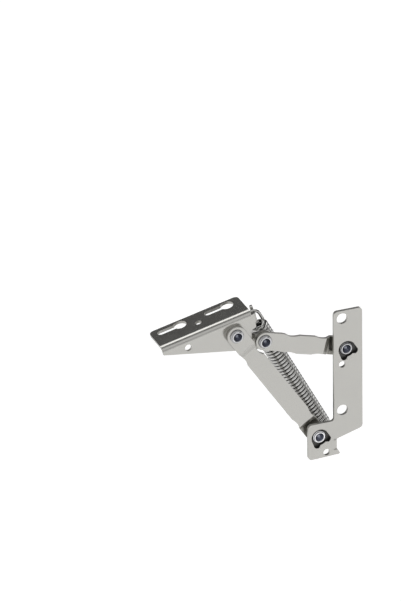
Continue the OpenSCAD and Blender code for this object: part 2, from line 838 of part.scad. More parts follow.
module wire(path) {
    n = len(path);
    side = sides_of(path);
    points = [
        for (i = [0:n - 1])
            let (other = cross(heading(path, i), side[i]))
            for (k = [0:wire_sides - 1])
                let (a = 360 * k / wire_sides)
                path[i] + wire_d / 2 * (cos(a) * side[i] + sin(a) * other)
    ];
    walls = [
        for (i = [0:n - 2])
            for (k = [0:wire_sides - 1])
                let (
                    here = i * wire_sides + k,
                    next = i * wire_sides + (k + 1) % wire_sides
                )
                each [[here, here + wire_sides, next], [next, here + wire_sides, next + wire_sides]]
    ];
    last = (n - 1) * wire_sides;
    start_cap = [for (k = [1:wire_sides - 2]) [0, k, k + 1]];
    end_cap = [for (k = [1:wire_sides - 2]) [last, last + k + 1, last + k]];
    polyhedron(points = points, faces = concat(start_cap, walls, end_cap), convexity = 10);
}

// Least gap between stretches of the wire that are over half a turn apart along it
whole_path = concat(spring_path, loop_path);
least_gap = min([
    for (i = [0:len(whole_path) - 2], j = [i + rings_per_turn / 2 + 1:1:len(whole_path) - 1])
        norm(whole_path[i] - whole_path[j])
]) - wire_d;
echo(str("Least gap of the spring wire to itself: ", least_gap, " mm"));

module tension_spring() {
    color([0.8, 0.8, 0.8]) wire(placed(spring_path));
}

module spring_hook() {
    color([0.8, 0.8, 0.8]) wire(placed(hook_path));
}

frame_plate();
rivet_plate_link();
washer_plate_link();
rivet_plate_arm();
washer_plate_arm();
short_link();
flap_bracket();
rivet_bracket_arm();
washer_bracket_arm();
rivet_bracket_link();
washer_bracket_link();
long_arm();
rivet_head_plate_arm();
tension_spring();
spring_hook();
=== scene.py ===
"""Flap stay: the looks of its sheet parts, rivets, washers and spring, and the studio round it."""

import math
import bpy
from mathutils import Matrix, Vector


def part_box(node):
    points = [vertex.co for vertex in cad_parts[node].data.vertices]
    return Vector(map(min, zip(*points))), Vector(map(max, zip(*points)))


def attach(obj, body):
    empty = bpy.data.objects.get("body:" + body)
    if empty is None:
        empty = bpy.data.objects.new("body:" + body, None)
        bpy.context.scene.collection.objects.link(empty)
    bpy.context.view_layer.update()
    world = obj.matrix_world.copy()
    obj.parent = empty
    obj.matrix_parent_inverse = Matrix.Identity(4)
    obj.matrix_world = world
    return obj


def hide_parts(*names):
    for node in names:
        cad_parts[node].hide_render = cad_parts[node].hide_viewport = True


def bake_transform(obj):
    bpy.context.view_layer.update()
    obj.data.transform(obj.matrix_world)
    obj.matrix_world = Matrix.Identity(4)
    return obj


bl_info = {
    "name": "Flap stay",
    "version": (1, 0, 0),
    "blender": (4, 5, 0),
    "location": "3D View > Sidebar > Flap stay",
    "description": "Dresses the packed flap stay and sets up its studio",
    "category": "Object",
}

import bpy
from mathutils import Matrix, Vector

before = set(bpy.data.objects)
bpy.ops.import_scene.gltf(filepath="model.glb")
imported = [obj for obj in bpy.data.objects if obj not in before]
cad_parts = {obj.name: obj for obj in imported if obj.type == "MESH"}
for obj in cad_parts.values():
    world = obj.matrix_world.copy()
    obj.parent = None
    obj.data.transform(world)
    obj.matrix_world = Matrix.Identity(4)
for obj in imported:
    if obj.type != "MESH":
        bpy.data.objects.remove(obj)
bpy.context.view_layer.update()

MM = 0.001

# Where the bracket's bend and flange lie: tilt in degrees, left end of the flange's top, depth of the bend
# below it and the distance from the mounting face at which the flange is flat
FLANGE_TILT = 13.0
FLANGE_CORNER = Vector((-116.449, 0.0, 31.19)) * MM
BEND_DEPTH = 4.3 * MM
FLANGE_FROM_Y = 12.5 * MM

# Middles of the side plate's dished seats in X and Z, and the room that they take up behind the
# mounting face. The faces in the seats get painted shade.
SEATS = [Vector((3.2, 10.0)) * MM, Vector((-15.2, -48.4)) * MM]
SEAT_REACH = 7.9 * MM
SEAT_TOP = 0.9 * MM
SEAT_FLOOR = 2.3 * MM

# Sheet parts: the piece, its CAD node, its body and the direction of its rolling grain in degrees from X
# towards Z
SHEET_PARTS = [
    ("side_plate", "frame_plate", "side_plate", 90.0),
    ("link_bar", "short_link", "link", 165.0),
    ("arm_bar", "long_arm", "arm", 123.6),
    ("bracket", "flap_bracket", "bracket", 13.0),
]

# Rivets: the piece, its CAD node, its body, whether it has a rolled end in front and a flat head behind,
# how bright its zinc is and how bright its hollow is. The zinc's brightness is painted light and shade, set
# rivet by rivet though all are the same zinc. The hollow's dark blue is painted shade.
RIVETS = [
    ("rivet_plate_link_turned", "rivet_plate_link", "side_plate", True, True, 0.56, 0.22),
    ("rivet_plate_arm_turned", "rivet_plate_arm", "side_plate", True, False, 0.9, 0.26),
    ("rivet_head_plate_arm_turned", "rivet_head_plate_arm", "arm", False, True, 0.6, 0.22),
    ("rivet_bracket_arm_turned", "rivet_bracket_arm", "bracket", True, True, 0.62, 0.2),
    ("rivet_bracket_link_turned", "rivet_bracket_link", "bracket", True, True, 0.62, 0.2),
]

# Washers: the piece, its CAD node, its body and how bright it is. The brightness is painted light and shade,
# set washer by washer though all are the same zinc.
WASHERS = [
    ("washer_plate_link_turned", "washer_plate_link", "side_plate", 0.24),
    ("washer_plate_arm_turned", "washer_plate_arm", "side_plate", 0.62),
    ("washer_bracket_arm_turned", "washer_bracket_arm", "bracket", 0.4),
    ("washer_bracket_link_turned", "washer_bracket_link", "bracket", 0.4),
]


# Sides of a turned piece, and the depth of the fine marks on a surface
LATHE_SIDES = 64
MARK_DEPTH = 0.03 * MM

# Floor: its width, its height, how pale it is and the light that lifts it, as lit by the room, to white
FLOOR_WIDTH = 6.0
FLOOR_HEIGHT = -0.35
FLOOR_TONE = 0.85
FLOOR_LIFT = 0.42

# Bands of the room over the stay: strip in front, gap and soft box overhead. For each, where it begins, is
# full, fades and is gone, in quarter turns from the horizon in front, and how bright it is
ROOM_BANDS = [
    (0.26, 0.34, 0.66, 0.74, 0.82),
    (0.66, 0.74, 0.99, 1.07, 0.22),
    (0.99, 1.07, 1.32, 1.4, 2.0),
]
# The rest of the room: low in front, behind the soft box, its darkest tone and its brightest
LOW_FADE = (0.22, 0.3)
LOW_RIGHT_LOSS = 0.45
BEHIND_FROM = (1.32, 1.4)
BEHIND_TONE = 0.085
ROOM_DARKEST = 0.04
ROOM_BRIGHTEST = 3.0
# Height, as the sine of the angle over the horizon, at which the white backdrop ends
BACKDROP_FADE = (0.12, 0.24)


class Field:
    """A socket of a material's nodes. Operators on it add the Math nodes that they stand for."""

    def __init__(self, maker, socket):
        self.maker = maker
        self.socket = socket

    def math(self, operation, *inputs, clamp=False):
        settings = {"operation": operation, "use_clamp": clamp}
        return self.maker.node("ShaderNodeMath", settings, dict(enumerate(inputs)))

    def __add__(self, other):
        return self.math("ADD", self, other)

    def __radd__(self, other):
        return self.math("ADD", other, self)

    def __sub__(self, other):
        return self.math("SUBTRACT", self, other)

    def __rsub__(self, other):
        return self.math("SUBTRACT", other, self)

    def __mul__(self, other):
        return self.math("MULTIPLY", self, other)

    def __rmul__(self, other):
        return self.math("MULTIPLY", other, self)

    def __truediv__(self, other):
        return self.math("DIVIDE", self, other)

    def __pow__(self, other):
        return self.math("POWER", self, other)

    def clamped(self):
        return self.math("ADD", self, 0.0, clamp=True)

    def band(self, low, rise, fall, high):
        """0 below low and above high, 1 from rise to fall."""
        return self.above(low, rise) - self.above(fall, high)

    def above(self, low, high):
        """0 below low, 1 above high and a smooth way between them."""
        limits = {"Value": self, "From Min": low, "From Max": high}
        return self.maker.node("ShaderNodeMapRange", {"interpolation_type": "SMOOTHSTEP"}, limits)


class NodeMaker:
    """Adds nodes to one node tree."""

    def __init__(self, tree):
        self.tree = tree

    def node(self, kind, settings=None, inputs=None, output=0):
        made = self.tree.nodes.new(kind)
        for name, value in (settings or {}).items():
            setattr(made, name, value)
        for name, value in (inputs or {}).items():
            self.feed(made.inputs[name], value)
        return Field(self, made.outputs[output])

    def feed(self, socket, value):
        if isinstance(value, Field):
            self.tree.links.new(value.socket, socket)
        else:
            socket.default_value = value

    def parts_of(self, vector):
        """The X, Y and Z of a vector."""
        return [self.node("ShaderNodeSeparateXYZ", inputs={"Vector": vector}, output=n) for n in range(3)]

    def blend(self, share, low, high):
        """The colour low where share is 0 and high where it is 1."""
        return self.node("ShaderNodeMix", {"data_type": "RGBA"}, {0: share, 6: low, 7: high}, output=2)


class Finish(NodeMaker):
    """A material with one Principled shader."""

    def __init__(self, name, **constants):
        self.material = bpy.data.materials.new(name)
        self.material.use_nodes = True
        super().__init__(self.material.node_tree)
        self.shader = self.tree.nodes["Principled BSDF"]
        for socket, value in constants.items():
            self.shader.inputs[socket.replace("_", " ")].default_value = value

    def set(self, socket, value):
        self.feed(self.shader.inputs[socket], value)

    def place(self, scale=(1.0, 1.0, 1.0), turn=(0.0, 0.0, 0.0), centre=(0.0, 0.0, 0.0)):
        """Object coordinates, moved to a centre, turned and scaled."""
        here = self.node("ShaderNodeTexCoord", output="Object")
        moved = self.node("ShaderNodeVectorMath", {"operation": "SUBTRACT"}, {0: here, 1: centre})
        return self.node(
            "ShaderNodeMapping",
            {"vector_type": "POINT"},
            {"Vector": moved, "Rotation": turn, "Scale": scale},
        )

    def noise(self, where, scale, detail=2.0, roughness=0.5):
        return self.node(
            "ShaderNodeTexNoise",
            inputs={"Vector": where, "Scale": scale, "Detail": detail, "Roughness": roughness},
        )

    def mark(self, name):
        """A mark that the piece's mesh carries on its faces."""
        return self.node("ShaderNodeAttribute", {"attribute_name": name}, output="Fac")

    def bump(self, height, strength):
        marks = {"Height": height, "Strength": strength, "Distance": MARK_DEPTH}
        self.set("Normal", self.node("ShaderNodeBump", inputs=marks))


def grey(level, warmth=0.0):
    """A grey with a little more red and less blue as warmth grows."""
    return (level * (1 + 0.4 * warmth), level, level * (1 - 1.4 * warmth), 1.0)


def rolled_steel(name, settings, grain_angle):
    """Nickel-plated sheet: fine grain along it, faint blotches, rough sheared edges that are darker, partly
    as painted shade, and painted shade in the dished seats.
    """
    finish = Finish(name, Metallic=1.0)
    steel = settings.steel
    # Turned about Y so that the grain runs along the mapped X
    along = finish.place(turn=(0.0, math.radians(grain_angle), 0.0))
    grain_place = finish.node(
        "ShaderNodeVectorMath", {"operation": "MULTIPLY"}, {0: along, 1: (60.0, 1500.0, 1500.0)}
    )
    grain = finish.noise(grain_place, 1.0, 3.0, 0.6)
    blotch = finish.noise(along, 90.0, 3.0, 0.55)
    speck = finish.noise(along, 3200.0, 1.0, 0.5)
    edge = finish.mark("sheared")
    seat_shade_mask = finish.mark("seat_shade_mask")
    tone = 0.5 * (blotch - 0.5) + 0.25 * (grain - 0.5) + 0.2 * (speck - 0.5) + 0.5
    sheet = finish.blend(tone.clamped(), grey(steel * 0.93, 0.03), grey(steel * 1.07, 0.04))
    # Cut walls are darker: partly the duller cut steel, partly painted shade
    darker_cut_walls = finish.blend(edge, sheet, grey(steel * 0.8, 0.04))
    # Painted shade: the faces in the side plate's dished seats are darkened to near black
    finish.set("Base Color", finish.blend(seat_shade_mask, darker_cut_walls, grey(steel * 0.16, 0.02)))
    rough = settings.sheet_roughness + 0.12 * (blotch - 0.5) + 0.08 * (grain - 0.5)
    finish.set("Roughness", (rough + 0.15 * edge + 0.2 * seat_shade_mask).clamped())
    finish.bump((grain + 0.6 * speck + 1.5 * edge * speck) * (1.0 - 0.8 * seat_shade_mask), 0.3)
    return finish.material


def turned_zinc(name, settings, centre, level, hollow_shade_tone=0.2):
    """Zinc on a rivet or washer: rings left by the tool round its axis, a brightness that is painted light
    and shade, and a hollow painted dark blue as painted shade.
    """
    finish = Finish(name, Metallic=1.0)
    here = finish.place(centre=centre)
    x, y, z = finish.parts_of(here)
    radius = (x * x + z * z) ** 0.5
    rings = finish.node(
        "ShaderNodeTexNoise",
        {"noise_dimensions": "1D"},
        {"W": radius + 0.3 * y, "Scale": 5200.0, "Detail": 1.0},
    )
    patch = finish.noise(here, 420.0, 3.0, 0.6)
    hollow = finish.mark("hollow")
    tone = (0.6 * (patch - 0.5) + 0.4 * (rings - 0.5) + 0.5).clamped()
    # The level differs between pieces of the same zinc: painted light and shade
    zinc = finish.blend(tone, grey(level * 0.88, -0.02), grey(level * 1.06, -0.01))
    # Painted shade: the hollow is dark blue
    finish.set("Base Color", finish.blend(hollow, zinc, grey(hollow_shade_tone, -0.12)))
    finish.set("Roughness", (settings.zinc_roughness + 0.16 * (patch - 0.5) - 0.08 * hollow).clamped())
    finish.bump(0.3 * rings + 0.4 * patch, 0.2)
    return finish.material


def drawn_wire(name, settings):
    """Bright drawn spring wire with faint marks along it, painted shade on the side of the coil's wire that
    faces its axis and end loops painted a little darker as painted shade.
    """
    finish = Finish(name, Metallic=1.0, Specular_Tint=grey(0.35))
    here = finish.place()
    patch = finish.noise(here, 700.0, 3.0, 0.6)
    fine = finish.noise(here, 4200.0, 2.0, 0.6)
    tone = (0.8 * (patch - 0.5) + 0.4 * (fine - 0.5) + 0.5).clamped()
    bright = finish.blend(tone, grey(settings.wire * 0.85, 0.02), grey(settings.wire * 1.08, 0.01))
    # Painted shade: the end loops are a little darker than the coil
    shaded_loops = finish.blend(finish.mark("loop"), bright, grey(settings.wire * 0.8, 0.02))
    # Painted shade: the side of the coil's wire that faces its axis is near black
    finish.set("Base Color", finish.blend(finish.mark("inner"), shaded_loops, grey(0.03)))
    finish.set("Roughness", (settings.wire_roughness + 0.14 * (patch - 0.5)).clamped())
    finish.bump(fine + patch, 0.25)
    return finish.material


def deselect():
    if bpy.context.object and bpy.context.object.mode != "OBJECT":
        bpy.ops.object.mode_set(mode="OBJECT")
    bpy.ops.object.select_all(action="DESELECT")


def pick(piece):
    deselect()
    piece.select_set(True)
    bpy.context.view_layer.objects.active = piece


def edit_all(piece):
    pick(piece)
    bpy.ops.object.mode_set(mode="EDIT")
    bpy.ops.mesh.select_all(action="SELECT")


def finish_piece(piece, name, body, material, slot, *nodes):
    """Names a finished piece, gives it its material, hangs it on the empty of its body and hides the CAD
    nodes that it stands for.
    """
    piece.name = piece.data.name = name
    piece.data.materials.clear()
    piece.data.materials.append(material)
    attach(piece, body)
    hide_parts(*nodes)
    return piece


def merged_copy(node):
    """A copy of a CAD node's mesh with its loose triangles joined and its flat faces made whole."""
    piece = bpy.data.objects.new(node + "_copy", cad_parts[node].data.copy())
    bpy.context.scene.collection.objects.link(piece)
    edit_all(piece)
    bpy.ops.mesh.remove_doubles(threshold=2e-6)
    bpy.ops.mesh.customdata_custom_splitnormals_clear()
    bpy.ops.mesh.dissolve_limited(angle_limit=math.radians(0.6))
    bpy.ops.object.mode_set(mode="OBJECT")
    return piece


def round_edges(piece, width, segments):
    """Breaks the sharp edges of a piece, as tumbling and plating leave them, and keeps its faces flat."""
    pick(piece)
    bevel = piece.modifiers.new("broken_edges", "BEVEL")
    bevel.limit_method = "ANGLE"
    bevel.angle_limit = math.radians(40)
    bevel.width = width
    bevel.segments = segments
    bevel.use_clamp_overlap = True
    bpy.ops.object.modifier_apply(modifier=bevel.name)
    bpy.ops.object.shade_smooth_by_angle(angle=math.radians(50))
    flat = piece.modifiers.new("flat_faces", "WEIGHTED_NORMAL")
    flat.mode = "FACE_AREA"
    flat.weight = 100
    flat.keep_sharp = True
    bpy.ops.object.modifier_apply(modifier=flat.name)


def mark_faces(piece, name, rule):
    """Gives each face a mark of 1 where the rule holds for its middle and its normal, else 0."""
    marks = piece.data.attributes.new(name, "FLOAT", "FACE")
    for face in piece.data.polygons:
        marks.data[face.index].value = 1.0 if rule(face.center, face.normal) else 0.0


def is_sheared(place, normal):
    """True for the walls that the press cut through a flat sheet."""
    return abs(normal.y) < 0.5


def is_sheared_flange(place, normal):
    """True for the cut walls of the bracket, whose flange and bend face up."""
    tilt = math.radians(FLANGE_TILT)
    along = Vector((math.cos(tilt), 0.0, math.sin(tilt)))
    up = Vector((-math.sin(tilt), 0.0, math.cos(tilt)))
    if abs(normal.dot(along)) > 0.7:
        return True
    if place.y > FLANGE_FROM_Y:
        return abs(normal.dot(up)) < 0.5
    bent = (place - FLANGE_CORNER).dot(up) > -BEND_DEPTH
    return abs(normal.y) < 0.5 and not bent


def in_seat(place, normal):
    """True inside the two dished seats of the side plate."""
    near = min((place.xz - seat).length for seat in SEATS)
    return SEAT_TOP < place.y < SEAT_FLOOR and near < SEAT_REACH


def lathe(profile):
    """A piece turned about Y from a profile of radius and depth; open ends are closed flat."""
    (radius, depth), *rest = profile
    deselect()
    bpy.ops.mesh.primitive_circle_add(
        vertices=LATHE_SIDES,
        radius=radius,
        fill_type="NOTHING",
        location=(0, 0, 0),
        rotation=(math.pi / 2, 0, 0),
    )
    piece = bpy.context.object
    bpy.ops.object.transform_apply(location=True, rotation=True, scale=True)
    edit_all(piece)
    bpy.ops.transform.translate(value=(0, depth, 0))
    for new_radius, new_depth in rest:
        bpy.ops.mesh.extrude_region_move(TRANSFORM_OT_translate={"value": (0, new_depth - depth, 0)})
        ratio = new_radius / radius
        bpy.ops.transform.resize(value=(ratio, 1, ratio), center_override=(0, 0, 0))
        radius, depth = new_radius, new_depth
    bpy.ops.mesh.select_all(action="SELECT")
    bpy.ops.mesh.remove_doubles(threshold=1e-7)
    bpy.ops.mesh.select_all(action="DESELECT")
    bpy.ops.mesh.select_non_manifold()
    bpy.ops.mesh.fill_holes(sides=0)
    bpy.ops.mesh.select_all(action="SELECT")
    bpy.ops.mesh.normals_make_consistent(inside=False)
    bpy.ops.object.mode_set(mode="OBJECT")
    bpy.ops.object.shade_smooth_by_angle(angle=math.radians(40))
    return piece


def move_mesh(piece, place):
    """Moves a piece's mesh to a place and leaves the object at the origin."""
    edit_all(piece)
    bpy.ops.transform.translate(value=place)
    bpy.ops.object.mode_set(mode="OBJECT")


def quarter(radius_at, depth_at, size, start, steps):
    """Points of radius and depth on a quarter circle of the given size, from the start angle in degrees."""
    turns = [math.radians(start + 90 * n / steps) for n in range(steps + 1)]
    return [(radius_at + size * math.cos(a), depth_at + size * math.sin(a)) for a in turns]


class FlapStaySettings(bpy.types.PropertyGroup):
    """Sizes and finishes that a user may change."""

    edge_width: bpy.props.FloatProperty(
        name="Edge rounding",
        description="Width of the broken edge along the sheared sheet",
        default=0.00025,
        min=0.0,
        max=0.0006,
        precision=5,
        unit="LENGTH",
    )
    steel: bpy.props.FloatProperty(
        name="Sheet brightness",
        description="How much light the plated sheet sends back",
        default=0.485,
        min=0.2,
        max=1.0,
    )
    sheet_roughness: bpy.props.FloatProperty(
        name="Sheet roughness",
        description="How far the plated sheet spreads a reflection",
        default=0.22,
        min=0.05,
        max=1.0,
    )
    zinc_roughness: bpy.props.FloatProperty(
        name="Rivet roughness",
        description="How far the rivets spread a reflection",
        default=0.24,
        min=0.05,
        max=1.0,
    )
    shank_radius: bpy.props.FloatProperty(
        name="Shank radius",
        description="Radius of a rivet's shank",
        default=3.0 * MM,
        precision=4,
        unit="LENGTH",
    )
    roll_radius: bpy.props.FloatProperty(
        name="Rolled end radius",
        description="Outer radius of a rivet's rolled end",
        default=3.7 * MM,
        precision=4,
        unit="LENGTH",
    )
    roll_height: bpy.props.FloatProperty(
        name="Rolled end height",
        description="Height of a rivet's rolled end",
        default=0.9 * MM,
        precision=4,
        unit="LENGTH",
    )
    hollow_radius: bpy.props.FloatProperty(
        name="Hollow radius",
        description="Radius of the hollow at its mouth",
        default=2.7 * MM,
        precision=4,
        unit="LENGTH",
    )
    hollow_floor: bpy.props.FloatProperty(
        name="Hollow floor radius",
        description="Radius of the floor of the hollow",
        default=1.3 * MM,
        precision=4,
        unit="LENGTH",
    )
    hollow_depth: bpy.props.FloatProperty(
        name="Hollow depth",
        description="Depth of the hollow",
        default=3.0 * MM,
        precision=4,
        unit="LENGTH",
    )
    head_radius: bpy.props.FloatProperty(
        name="Head radius",
        description="Radius of a rivet's flat head",
        default=4.7 * MM,
        precision=4,
        unit="LENGTH",
    )
    head_thickness: bpy.props.FloatProperty(
        name="Head thickness",
        description="Thickness of a rivet's flat head",
        default=1.4 * MM,
        precision=4,
        unit="LENGTH",
    )
    washer_radius: bpy.props.FloatProperty(
        name="Washer radius",
        description="Outer radius of a washer",
        default=4.4 * MM,
        precision=4,
        unit="LENGTH",
    )
    washer_thickness: bpy.props.FloatProperty(
        name="Washer thickness",
        description="Thickness of a washer",
        default=1.1 * MM,
        precision=4,
        unit="LENGTH",
    )
    washer_slope: bpy.props.FloatProperty(
        name="Washer slope",
        description="Width of the slope round the front of a washer",
        default=0.4 * MM,
        precision=4,
        unit="LENGTH",
    )
    wire: bpy.props.FloatProperty(
        name="Wire brightness",
        description="How much light the spring wire sends back",
        default=0.52,
        min=0.2,
        max=1.0,
    )
    wire_roughness: bpy.props.FloatProperty(
        name="Wire roughness",
        description="How far the spring wire spreads a reflection",
        default=0.2,
        min=0.05,
        max=1.0,
    )
    wire_diameter: bpy.props.FloatProperty(
        name="Wire diameter",
        description="Thickness of the spring wire",
        default=2.0 * MM,
        precision=4,
        unit="LENGTH",
    )
    coil_diameter: bpy.props.FloatProperty(
        name="Coil diameter",
        description="Outer diameter of the spring's coil",
        default=12 * MM,
        precision=4,
        unit="LENGTH",
    )
    coil_turns: bpy.props.IntProperty(
        name="Turns",
        description="Number of turns in the spring's coil",
        default=35,
        min=20,
        max=40,
    )
    loop_radius: bpy.props.FloatProperty(
        name="Loop radius",
        description="Radius of the spring's end loops to the middle of the wire",
        default=4.5 * MM,
        precision=4,
        unit="LENGTH",
    )
    low_hook: bpy.props.FloatVectorProperty(
        name="Lower hook",
        description="Place of the side plate's hook in the lower end loop",
        default=(-3.0 * MM, 16.6 * MM, -54.4 * MM),
        precision=4,
        subtype="XYZ",
        unit="LENGTH",
    )
    high_hook: bpy.props.FloatVectorProperty(
        name="Upper hook",
        description="Place of the bracket's hook in the upper end loop",
        default=(-52.4 * MM, 16.6 * MM, 37.8 * MM),
        precision=4,
        subtype="XYZ",
        unit="LENGTH",
    )
    camera_azimuth: bpy.props.FloatProperty(
        name="Camera azimuth",
        description="Turn of the camera round the stay, 0 looking straight at the side plate",
        default=math.radians(-21.4683),
        subtype="ANGLE",
    )
    camera_elevation: bpy.props.FloatProperty(
        name="Camera elevation",
        description="Angle of the camera above the horizon",
        default=math.radians(27.4762),
        subtype="ANGLE",
    )
    camera_roll: bpy.props.FloatProperty(
        name="Camera roll",
        description="Turn of the picture against the clock",
        default=math.radians(0.7518),
        subtype="ANGLE",
    )
    camera_distance: bpy.props.FloatProperty(
        name="Camera distance",
        description="Distance from the camera to the point it looks at",
        default=5.0,
        unit="LENGTH",
    )
    camera_target: bpy.props.FloatVectorProperty(
        name="Camera target",
        description="The point in the middle of the picture",
        default=(-93.87 * MM, 0.0, 63.843 * MM),
        precision=4,
        subtype="XYZ",
        unit="LENGTH",
    )
    camera_lens: bpy.props.FloatProperty(
        name="Camera lens",
        description="Focal length in millimetres",
        default=489.05,
        min=50,
        max=1000,
    )


class FLAPSTAY_OT_sheet_parts(bpy.types.Operator):
    """Side plate, link, long arm and flap bracket with broken edges and plated steel"""

    bl_idname = "flapstay.sheet_parts"
    bl_label = "Sheet parts"

    def execute(self, context):
        settings = context.scene.flap_stay
        for name, node, body, grain_angle in SHEET_PARTS:
            piece = merged_copy(node)
            mark_faces(piece, "sheared", is_sheared_flange if node == "flap_bracket" else is_sheared)
            if node == "frame_plate":
                # The faces in the dished seats are marked for painted shade
                mark_faces(piece, "seat_shade_mask", in_seat)
            round_edges(piece, settings.edge_width, 2)
            material = rolled_steel("plated_" + name, settings, grain_angle)
            finish_piece(piece, name, body, material, "sheet_steel", node)
        return {"FINISHED"}


class FLAPSTAY_OT_rivets(bpy.types.Operator):
    """Four rivets with rolled ends and flat heads, one of them in two halves"""

    bl_idname = "flapstay.rivets"
    bl_label = "Rivets"

    def profile(self, settings, length, rolled, headed):
        """Radius and depth from the floor of the hollow, over the rolled end, along the shank to the head."""
        shank, roll, hollow = settings.shank_radius, settings.roll_radius, settings.hollow_radius
        points = [(shank, 0.0)]
        if rolled:
            floor, floor_depth = settings.hollow_floor, settings.hollow_depth
            middle, half, lip, bulge = (hollow + roll) / 2, (roll - hollow) / 2, 0.5 * MM, 0.5 * floor
            # The floor is round, and the wall widens towards the front
            points = []
            for turn in (10, 30, 50, 70):
                a = math.radians(turn)
                points.append((floor * math.sin(a), floor_depth - bulge * (1 - math.cos(a))))
            for turn in range(180, -1, -15):
                a = math.radians(turn)
                points.append((middle + half * math.cos(a), lip * (1 - math.sin(a))))
            points += [(roll, settings.roll_height), (shank, settings.roll_height)]
        if headed:
            head, under = settings.head_radius, length - settings.head_thickness
            edge, chamfer = 0.5 * MM, 0.1 * MM
            points += [(shank, under), (head - chamfer, under), (head, under + chamfer)]
            points += quarter(head - edge, length - edge, edge, 0, 6)
        else:
            points.append((shank, length))
        return points

    def execute(self, context):
        settings = context.scene.flap_stay
        for name, node, body, rolled, headed, level, hollow_shade_tone in RIVETS:
            low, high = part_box(node)
            piece = lathe(self.profile(settings, high.y - low.y, rolled, headed))
            if rolled:
                reach, depth = settings.hollow_radius - 0.05 * MM, settings.hollow_depth + 0.1 * MM
                lip = 0.3 * MM
                mark_faces(piece, "hollow", lambda at, normal: at.xz.length < reach and lip < at.y < depth)
            centre = (low + high) / 2
            move_mesh(piece, (centre.x, low.y, centre.z))
            material = turned_zinc("zinc_" + name, settings, centre, level, hollow_shade_tone)
            finish_piece(piece, name, body, material, "rivet_steel", node)
        return {"FINISHED"}


class FLAPSTAY_OT_washers(bpy.types.Operator):
    """Washers under the rolled ends of the rivets"""

    bl_idname = "flapstay.washers"
    bl_label = "Washers"

    def execute(self, context):
        settings = context.scene.flap_stay
        shank, outer, thick = settings.shank_radius, settings.washer_radius, settings.washer_thickness
        slope, edge = settings.washer_slope, 0.1 * MM
        front = [(shank, 0.0), (outer - slope - edge, 0.0), (outer - slope, 0.3 * edge)]
        side = [(outer - 0.3 * edge, slope), (outer, slope + edge), (outer, thick - edge)]
        back = [(outer - edge, thick), (shank, thick), (shank, 0.0)]
        pattern = lathe(front + side + back)
        for name, node, body, level in WASHERS:
            low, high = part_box(node)
            centre = (low + high) / 2
            piece = pattern.copy()
            piece.data = pattern.data.copy()
            context.scene.collection.objects.link(piece)
            move_mesh(piece, (centre.x, low.y, centre.z))
            material = turned_zinc("zinc_" + name, settings, centre, level)
            finish_piece(piece, name, body, material, "washer_steel", node)
        bpy.data.objects.remove(pattern)
        return {"FINISHED"}


